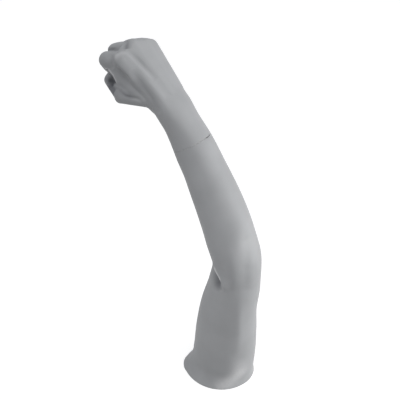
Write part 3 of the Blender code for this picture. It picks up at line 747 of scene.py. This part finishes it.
def innerWall():
    # the room in the shell for the board and the fittings, and the hollow of the palm behind it
    centre, normal = sectionPlane(jointStop)
    turn = handMatrix()
    boardTop = heightOver(pointsOf(frame["nodes"]["hand_board"]) / mm, centre, normal).max()
    end = float(boardTop) + handShape["boardRoom"]
    rings = []
    for height in np.linspace(-handShape["mouthBelow"], end, handShape["mouthRings"]):
        plane = flatPlane(jointStop, height)
        rings.append(sectionRing(jointStop + height, handShape["wristPoints"], armSkin["wall"], plane))
    mouth = closedTube(rings)
    spot = turn.inverted() @ (centre + normal * end)
    hollow = ballHull((*handShape["hollow"], (*spot, handShape["hollowMouth"])))
    settle(hollow, turn)
    union = mouth.modifiers.new("union", "BOOLEAN")
    union.operation = "UNION"
    union.solver = "EXACT"
    union.object = hollow
    applyModifiers(mouth)
    bpy.data.objects.remove(hollow)
    trimAtJoint(mouth)
    editAll()
    bpy.ops.mesh.flip_normals()
    endEdit()
    return mouth


def settle(piece, turn):
    # takes a piece from the hand's own frame to its place in the whole
    piece.data.transform(piece.matrix_world)
    piece.matrix_world = Matrix.Identity(4)
    piece.data.transform(Matrix.Scale(mm, 4) @ turn @ Matrix.Scale(1 / mm, 4))


def addSmooth(piece, passes, group=""):
    smooth = piece.modifiers.new("smooth", "SMOOTH")
    smooth.factor = handShape["smoothFactor"]
    smooth.iterations = passes
    smooth.vertex_group = group


def rubSmooth(piece, local):
    # the closer a point lies to a soft spot, the more its neighbours draw it in
    weights = np.zeros(len(local))
    for x, y, z, reach in handShape["softSpots"]:
        distance = np.linalg.norm(local - (x, y, z), axis=1) / reach
        weights = np.maximum(weights, np.exp(-(distance ** handShape["softPower"])))
    group = piece.vertex_groups.new(name="soft")
    for index in np.nonzero(weights > handShape["softFloor"])[0]:
        group.add([int(index)], float(weights[index]), "REPLACE")
    addSmooth(piece, handShape["softPasses"], group.name)
    applyModifiers(piece)
    piece.vertex_groups.clear()


def keepLargest(piece):
    # drops any skin that closed round a hollow between the masses
    makeActive(piece)
    editAll()
    bpy.ops.mesh.separate(type="LOOSE")
    endEdit()
    parts = sorted(bpy.context.selected_objects, key=lambda part: len(part.data.vertices))
    for part in parts[:-1]:
        bpy.data.objects.remove(part)
    return parts[-1]


def easeHandRim(skin):
    # the same rounded edge as the forearm's on the other side of the joint
    centre, normal = sectionPlane(jointStop)
    points = pointsOf(skin) / mm
    height = heightOver(points, centre, normal) - handShape["jointGap"]
    ring = sectionRing(jointStop, handShape["rimPoints"])
    rays = points - np.array(centre)
    flat = rays - np.outer(rays @ np.array(normal), np.array(normal))
    reach = np.linalg.norm(flat, axis=1)
    near = (height < handShape["rimReach"]) & (height > -handShape["rimSlack"])
    for index in np.nonzero(near)[0]:
        closest = np.argmin(np.linalg.norm(ring - points[index], axis=1))
        if reach[index] < np.linalg.norm(ring[closest] - np.array(centre)) - armSkin["wall"] / 2:
            continue
        inset = easedInset(max(height[index], 0.0), jointEase(points[index : index + 1])[0])
        points[index] -= flat[index] / reach[index] * inset
    placePoints(skin, points * mm)


def makeHandSkin():
    turn = handMatrix()
    inverse = turn.inverted()
    skin = joinAll(handMasses())
    settle(skin, turn)
    skin = joinAll([skin, wristTube()])
    remesh = skin.modifiers.new("skin", "REMESH")
    remesh.mode = "VOXEL"
    remesh.voxel_size = handShape["voxel"] * mm
    addSmooth(skin, handShape["smoothPasses"])
    applyModifiers(skin)
    skin = keepLargest(skin)
    skin.name = "hand_skin"
    rubSmooth(skin, moved(pointsOf(skin) / mm, inverse))
    normals = normalsOf(skin) @ np.array(inverse)[:3, :3].T
    local, paintedShading = sculpt(moved(pointsOf(skin) / mm, inverse), normals, handStrokes)
    placePoints(skin, keepInside(moved(local, turn) * mm))
    keepPaintedShading(skin, paintedShading)
    trimAtJoint(skin)
    easeHandRim(skin)
    skin = joinAll([skin, innerWall()])
    bpy.ops.object.mode_set(mode="EDIT")
    bpy.ops.mesh.select_all(action="DESELECT")
    bpy.ops.mesh.select_non_manifold(
        extend=False, use_wire=False, use_boundary=True,
        use_multi_face=False, use_non_contiguous=False, use_verts=False,
    )
    bpy.ops.mesh.bridge_edge_loops()
    endEdit()
    shadeSmooth(skin)
    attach(skin, "hand")
    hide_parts("hand_shell")
    return skin


handSkinPiece = makeHandSkin()
print("hand skin:", len(handSkinPiece.data.polygons), "faces")


# Materials: a class that wraps a socket, so that maths on it adds nodes

class Wire:
    def __init__(self, finish, socket):
        self.finish = finish
        self.socket = socket

    def maths(self, operation, *values):
        sockets = dict(enumerate(values))
        return self.finish.node("ShaderNodeMath", {"operation": operation}, sockets)

    def __add__(self, other):
        return self.maths("ADD", self, other)

    def __radd__(self, other):
        return self.maths("ADD", other, self)

    def __sub__(self, other):
        return self.maths("SUBTRACT", self, other)

    def __rsub__(self, other):
        return self.maths("SUBTRACT", other, self)

    def __mul__(self, other):
        return self.maths("MULTIPLY", self, other)

    def __rmul__(self, other):
        return self.maths("MULTIPLY", other, self)

    def __truediv__(self, other):
        return self.maths("DIVIDE", self, other)

    def __abs__(self):
        return self.maths("ABSOLUTE", self)

    def smoothBetween(self, low, high):
        # 0 below low and 1 above high
        sockets = {"Value": self, "From Min": low, "From Max": high}
        return self.finish.node("ShaderNodeMapRange", {"interpolation_type": "SMOOTHSTEP"}, sockets)


class Finish:
    def __init__(self, name, color, roughness, metallic=0.0):
        self.material = bpy.data.materials.new(name)
        self.material.use_nodes = True
        self.tree = self.material.node_tree
        self.shader = self.tree.nodes["Principled BSDF"]
        self.put("Base Color", opaque(color))
        self.put("Roughness", roughness)
        self.put("Metallic", metallic)
        self.place = self.node("ShaderNodeTexCoord", output="Object")

    def put(self, name, value):
        self.join(self.shader.inputs[name], value)

    def join(self, socket, value):
        if isinstance(value, Wire):
            self.tree.links.new(value.socket, socket)
        else:
            socket.default_value = value

    def node(self, kind, settings=None, sockets=None, output=0):
        node = self.tree.nodes.new(kind)
        for name, value in (settings or {}).items():
            setattr(node, name, value)
        for name, value in (sockets or {}).items():
            self.join(node.inputs[name], value)
        return Wire(self, node.outputs[output])

    def noise(self, scale, detail=2.0, roughness=0.5, place=None):
        sockets = {"Vector": place or self.place, "Scale": scale, "Detail": detail, "Roughness": roughness}
        return self.node("ShaderNodeTexNoise", {}, sockets, "Fac")

    def mix(self, share, low, high):
        # from low, at a share of 0, to high, at 1
        low, high = (color if isinstance(color, Wire) else opaque(color) for color in (low, high))
        return self.node("ShaderNodeMix", {"data_type": "RGBA"}, {0: share, 6: low, 7: high}, 2)

    def stretched(self, scale, rotation=(0.0, 0.0, 0.0)):
        sockets = {"Vector": self.place, "Scale": scale, "Rotation": rotation}
        return self.node("ShaderNodeMapping", {}, sockets)

    def along(self, origin, direction):
        # metres from a plane, along its normal
        shifted = self.node("ShaderNodeVectorMath", {"operation": "SUBTRACT"}, {0: self.place, 1: origin})
        dot = {"operation": "DOT_PRODUCT"}
        return self.node("ShaderNodeVectorMath", dot, {0: shifted, 1: direction}, "Value")

    def bump(self, height, distance):
        sockets = {"Height": height, "Distance": distance}
        self.put("Normal", self.node("ShaderNodeBump", {}, sockets, "Normal"))


def linear(level):
    # one channel from 0 to 255 on screen, by the usual screen curve
    share = level / 255
    return share / 12.92 if level < 10.3 else ((share + 0.055) / 1.055) ** 2.4


def srgb(red, green, blue):
    # colours are written as they look on screen
    return tuple(linear(level) for level in (red, green, blue))


def opaque(color):
    return (*color, 1.0)


skinPaint = {
    "grey": srgb(163, 164, 165),
    "greyLighter": srgb(168, 169, 170),
    "primer": srgb(196, 196, 193),
    # the next two greys are painted light: a pale one for painted highlights, a dark one for painted shade
    "paintedLight": srgb(214, 214, 214),
    "paintedShade": srgb(96, 97, 102),
    "scuff": srgb(128, 128, 128),
    # how strongly painted shade is laid on, and the noise that makes the painted highlights uneven
    "paintedShadeShare": 0.8,
    "paintedLightLow": 0.75,
    "paintedLightSpread": 0.5,
    "paintedLightScale": 300.0,
    "roughness": 0.58,
    "roughnessSpread": 0.1,
    "roughnessScale": 70.0,
    "specular": 0.3,
    "patchScale": 22.0,
    "patchBand": (0.35, 0.68),  # the noise levels between which the lighter grey sets in
    "chipScale": 420.0,
    "chipBand": (0.47, 0.6),
    # how far the paint is worn from the seam and from the base, from where it thins, and how much
    "seamReach": 0.0011,
    "seamBand": (0.2, 1.0),
    "seamShare": 0.5,
    "baseReach": 0.0022,
    "baseBand": (0.1, 1.0),
    "baseShare": 0.6,
    "peelScale": 780.0,
    "peelHeight": 0.00003,
    "grainScale": 3200.0,
    "grainShare": 0.25,
}


def makeSkinPaint():
    paint = skinPaint
    finish = Finish("sprayed_grey_paint", paint["grey"], paint["roughness"])
    patches = finish.noise(paint["patchScale"], detail=3.0).smoothBetween(*paint["patchBand"])
    chips = finish.noise(paint["chipScale"], detail=3.0).smoothBetween(*paint["chipBand"])
    seam = abs(finish.along(turnJoint["pos_m"], turnJoint["axis"]))
    seamWear = (1.0 - (seam / paint["seamReach"]).smoothBetween(*paint["seamBand"])) * chips
    base = finish.along((0.0, 0.0, 0.0), (0.0, 0.0, 1.0))
    baseWear = (1.0 - (base / paint["baseReach"]).smoothBetween(*paint["baseBand"])) * chips
    # the strokes' shading paints light into the colour: painted shade where it is below 0, and painted
    # highlights, made uneven by a noise, where it is above 0
    paintedShading = finish.node("ShaderNodeAttribute", {"attribute_name": "paintedShading"}, output="Fac")
    paintedShade = (0.0 - paintedShading).smoothBetween(0.0, 1.0) * paint["paintedShadeShare"]
    unevenness = paint["paintedLightLow"] + finish.noise(paint["paintedLightScale"]) * paint["paintedLightSpread"]
    paintedLight = paintedShading.smoothBetween(0.0, 1.0) * unevenness
    color = finish.mix(patches, paint["grey"], paint["greyLighter"])
    color = finish.mix(paintedShade, color, paint["paintedShade"])
    color = finish.mix(paintedLight, color, paint["paintedLight"])
    color = finish.mix(seamWear * paint["seamShare"], color, paint["primer"])
    color = finish.mix(baseWear * paint["baseShare"], color, paint["scuff"])
    finish.put("Base Color", color)
    finish.put("Specular IOR Level", paint["specular"])
    spread = paint["roughnessSpread"]
    clouds = finish.noise(paint["roughnessScale"], detail=3.0)
    finish.put("Roughness", paint["roughness"] + clouds * spread - spread / 2)
    peel = finish.noise(paint["peelScale"], detail=2.0)
    grain = finish.noise(paint["grainScale"], detail=1.0)
    finish.bump(peel + grain * paint["grainShare"], paint["peelHeight"])
    return finish.material


def dress(piece, material):
    piece.data.materials.clear()
    piece.data.materials.append(material)


skinMaterial = makeSkinPaint()
dress(armSkinPiece, skinMaterial)
dress(handSkinPiece, skinMaterial)


# The fittings inside keep their solids and get the finish of their metal, wood or plastic

plywood = {
    "face": srgb(205, 172, 128),
    "grain": srgb(178, 138, 92),
    "grainBand": (0.35, 0.7),
    "grainStretch": (34.0, 420.0, 34.0),
    "fineScale": 6.0,
    "ply": 0.0014,
    "plyBand": (0.35, 0.65),
    "plyShare": 0.45,
    "roughness": 0.7,
    "roughnessLow": 0.62,
    "roughnessSpread": 0.2,
    "relief": 0.00008,
    "fineShare": 0.5,
}


def makePlywood(name, origin, direction):
    # the plies lie across this direction
    finish = Finish(name, plywood["face"], plywood["roughness"])
    sockets = {0: finish.along(origin, direction), 1: plywood["ply"]}
    layer = finish.node("ShaderNodeMath", {"operation": "PINGPONG"}, sockets) / plywood["ply"]
    grainPlace = finish.stretched(plywood["grainStretch"])
    grain = finish.noise(1.0, detail=4.0, roughness=0.6, place=grainPlace)
    fine = finish.noise(plywood["fineScale"], detail=3.0, roughness=0.6, place=grainPlace)
    color = finish.mix(grain.smoothBetween(*plywood["grainBand"]), plywood["face"], plywood["grain"])
    plies = layer.smoothBetween(*plywood["plyBand"]) * plywood["plyShare"]
    finish.put("Base Color", finish.mix(plies, color, plywood["grain"]))
    finish.put("Roughness", plywood["roughnessLow"] + fine * plywood["roughnessSpread"])
    finish.bump(grain + fine * plywood["fineShare"], plywood["relief"])
    return finish.material


metals = {
    "zinc_steel": {
        "color": srgb(190, 191, 192), "tint": srgb(176, 180, 190), "roughness": 0.34, "scale": 160.0,
    },
    "screw_steel": {
        "color": srgb(182, 183, 186), "tint": srgb(198, 196, 186), "roughness": 0.27, "scale": 420.0,
    },
    "spring_steel": {
        "color": srgb(118, 120, 126), "tint": srgb(92, 96, 110), "roughness": 0.3, "scale": 500.0,
    },
    "magnet": {
        "color": srgb(200, 197, 190), "tint": srgb(186, 184, 180), "roughness": 0.2, "scale": 260.0,
    },
}

# what all the metals share: spangles, clouds of the tint and fine scratches
metalSurface = {
    "spangleRatio": 2,  # the spangles' scale against that of the clouds
    "tintBand": (0.3, 0.7),
    "scratchStretch": (2600.0, 140.0, 900.0),
    "scratchTurn": (0.3, 0.2, 0.6),
    "roughnessDrop": 0.06,
    "cloudRoughness": 0.08,
    "scratchRoughness": 0.06,
    "scratchShare": 0.6,
    "spangleShare": 0.4,
    "relief": 0.000015,
}


def makeMetal(name):
    metal = metals[name]
    surface = metalSurface
    finish = Finish(name, metal["color"], metal["roughness"], 1.0)
    sockets = {"Vector": finish.place, "Scale": metal["scale"] * surface["spangleRatio"]}
    spangle = finish.node("ShaderNodeTexVoronoi", {"feature": "F1"}, sockets, "Distance")
    cloud = finish.noise(metal["scale"], detail=3.0)
    tint = cloud.smoothBetween(*surface["tintBand"])
    finish.put("Base Color", finish.mix(tint, metal["color"], metal["tint"]))
    scratchPlace = finish.stretched(surface["scratchStretch"], surface["scratchTurn"])
    scratches = finish.noise(1.0, detail=2.0, roughness=0.6, place=scratchPlace)
    roughness = metal["roughness"] - surface["roughnessDrop"] + cloud * surface["cloudRoughness"]
    finish.put("Roughness", roughness + scratches * surface["scratchRoughness"])
    height = scratches * surface["scratchShare"] + spangle * surface["spangleShare"]
    finish.bump(height, surface["relief"])
    return finish.material


nylon = {
    "color": srgb(228, 226, 216),
    "lighter": srgb(232, 230, 220),
    "darker": srgb(218, 215, 203),
    "cloudScale": 300.0,
    "roughness": 0.42,
    "roughnessLow": 0.36,
    "roughnessSpread": 0.16,
    "latheStretch": (300.0, 300.0, 3000.0),
    "relief": 0.00001,
}


def makeNylon():
    finish = Finish("nylon", nylon["color"], nylon["roughness"])
    cloud = finish.noise(nylon["cloudScale"], detail=3.0)
    finish.put("Base Color", finish.mix(cloud, nylon["lighter"], nylon["darker"]))
    finish.put("Roughness", nylon["roughnessLow"] + cloud * nylon["roughnessSpread"])
    lathe = finish.noise(1.0, detail=1.0, place=finish.stretched(nylon["latheStretch"]))
    finish.bump(lathe, nylon["relief"])
    return finish.material


# the start of a node's name, and its finish; the boards have none here and are plywood
nodeFinishes = {
    "shoulder_plate": "zinc_steel",
    "wrist_socket": "zinc_steel",
    "hand_plate": "zinc_steel",
    "wrist_peg": "zinc_steel",
    "shoulder_screw": "screw_steel",
    "socket_screw": "screw_steel",
    "hand_screw": "screw_steel",
    "peg_washer": "screw_steel",
    "peg_nut": "screw_steel",
    "spring_washer": "spring_steel",
    "hand_magnet": "magnet",
    "peg_bush": "nylon",
}


def dressFittings():
    made = {name: makeMetal(name) for name in metals}
    made["nylon"] = makeNylon()
    upright = makePlywood("plywood_level", (0.0, 0.0, 0.0), (0.0, 0.0, 1.0))
    leaning = makePlywood("plywood_leaning", turnJoint["pos_m"], turnJoint["axis"])
    boards = {"shoulder_board": upright, "wrist_board": leaning, "hand_board": leaning}
    for name, node in frame["nodes"].items():
        if node.hide_render:
            continue
        kind = next((value for key, value in nodeFinishes.items() if name.startswith(key)), "plywood")
        dress(node, boards[name] if name in boards else made[kind])


dressFittings()
print("materials set")


# The studio: a pale floor, a soft key low on the right, a soft light above, two faint fills
# and a camera that looks down from the front

studio = {
    "floorSize": 8.0,
    "floorColor": srgb(168, 168, 168),
    "floorRoughness": 0.9,
    "floorGlow": 0.8,  # what the floor adds where the camera, a gloss or a clear piece shows it
    "skyLight": 0.48,
    "skyColor": (0.965, 0.98, 1.02),
    # place and aim of each soft box, its size, the spread of its beam in degrees, watts
    "lamps": {
        "key": ((1.7, -0.05, 0.1), (0.0, 0.0, 0.02), 0.7, 80.0, 6.4),
        "top": ((0.35, -0.45, 1.85), (0.0, 0.0, 0.3), 1.0, 180.0, 7.5),
        "front": ((-0.15, -1.3, 0.15), (0.02, 0.0, 0.1), 0.5, 60.0, 0.3),
        "left": ((-1.0, -0.1, 0.1), (0.0, 0.0, 0.1), 0.4, 50.0, 0.12),
    },
}


def makeFloor():
    deselectAll()
    bpy.ops.mesh.primitive_plane_add(size=studio["floorSize"])
    floor = bpy.context.object
    floor.name = "studio_floor"
    finish = Finish("studio_white", studio["floorColor"], studio["floorRoughness"])
    finish.put("Specular IOR Level", 0.0)
    rays = finish.node("ShaderNodeLightPath").socket.node.outputs
    seen = Wire(finish, rays["Is Camera Ray"])
    glossy = Wire(finish, rays["Is Glossy Ray"])
    through = Wire(finish, rays["Is Transmission Ray"])
    finish.put("Emission Color", (1.0, 1.0, 1.0, 1.0))
    finish.put("Emission Strength", (seen + glossy + through) * studio["floorGlow"])
    dress(floor, finish.material)


def makeSky():
    # white to the camera, in gloss and through clear pieces, and dimmer where it lights the object
    world = bpy.data.worlds.new("studio_sky")
    bpy.context.scene.world = world
    world.use_nodes = True
    tree = world.node_tree
    rays = tree.nodes.new("ShaderNodeLightPath").outputs
    shown = rays["Is Camera Ray"]
    for kind in ("Is Glossy Ray", "Is Transmission Ray"):
        either = tree.nodes.new("ShaderNodeMath")
        either.operation = "MAXIMUM"
        tree.links.new(shown, either.inputs[0])
        tree.links.new(rays[kind], either.inputs[1])
        shown = either.outputs[0]
    level = tree.nodes.new("ShaderNodeMapRange")
    level.inputs["To Min"].default_value = studio["skyLight"]
    level.inputs["To Max"].default_value = 1.0
    tree.links.new(shown, level.inputs["Value"])
    background = tree.nodes["Background"]
    background.inputs["Color"].default_value = opaque(studio["skyColor"])
    tree.links.new(level.outputs[0], background.inputs["Strength"])


def makeLamps():
    for name, (place, aim, size, spread, watts) in studio["lamps"].items():
        lamp = bpy.data.lights.new(name, "AREA")
        lamp.size = size
        lamp.spread = math.radians(spread)
        lamp.energy = watts
        holder = bpy.data.objects.new(name, lamp)
        bpy.context.scene.collection.objects.link(holder)
        holder.location = place
        holder.rotation_euler = (Vector(aim) - Vector(place)).to_track_quat("-Z", "Y").to_euler()


view = {
    "place": (-0.0269, -1.368, 1.1924),  # metres
    "down": 33.0,  # degrees below level
    "lens": 105.0,  # this and the sensor in millimetres, as on a camera
    "sensor": 36.0,
}


def makeCamera():
    camera = bpy.data.cameras.new("camera")
    camera.lens = view["lens"]
    camera.sensor_width = view["sensor"]
    holder = bpy.data.objects.new("camera", camera)
    bpy.context.scene.collection.objects.link(holder)
    holder.location = view["place"]
    holder.rotation_euler = (math.radians(90.0 - view["down"]), 0.0, 0.0)
    bpy.context.scene.camera = holder


makeFloor()
makeSky()
makeLamps()
makeCamera()
bpy.context.scene.view_settings.view_transform = "Standard"
print("studio set")
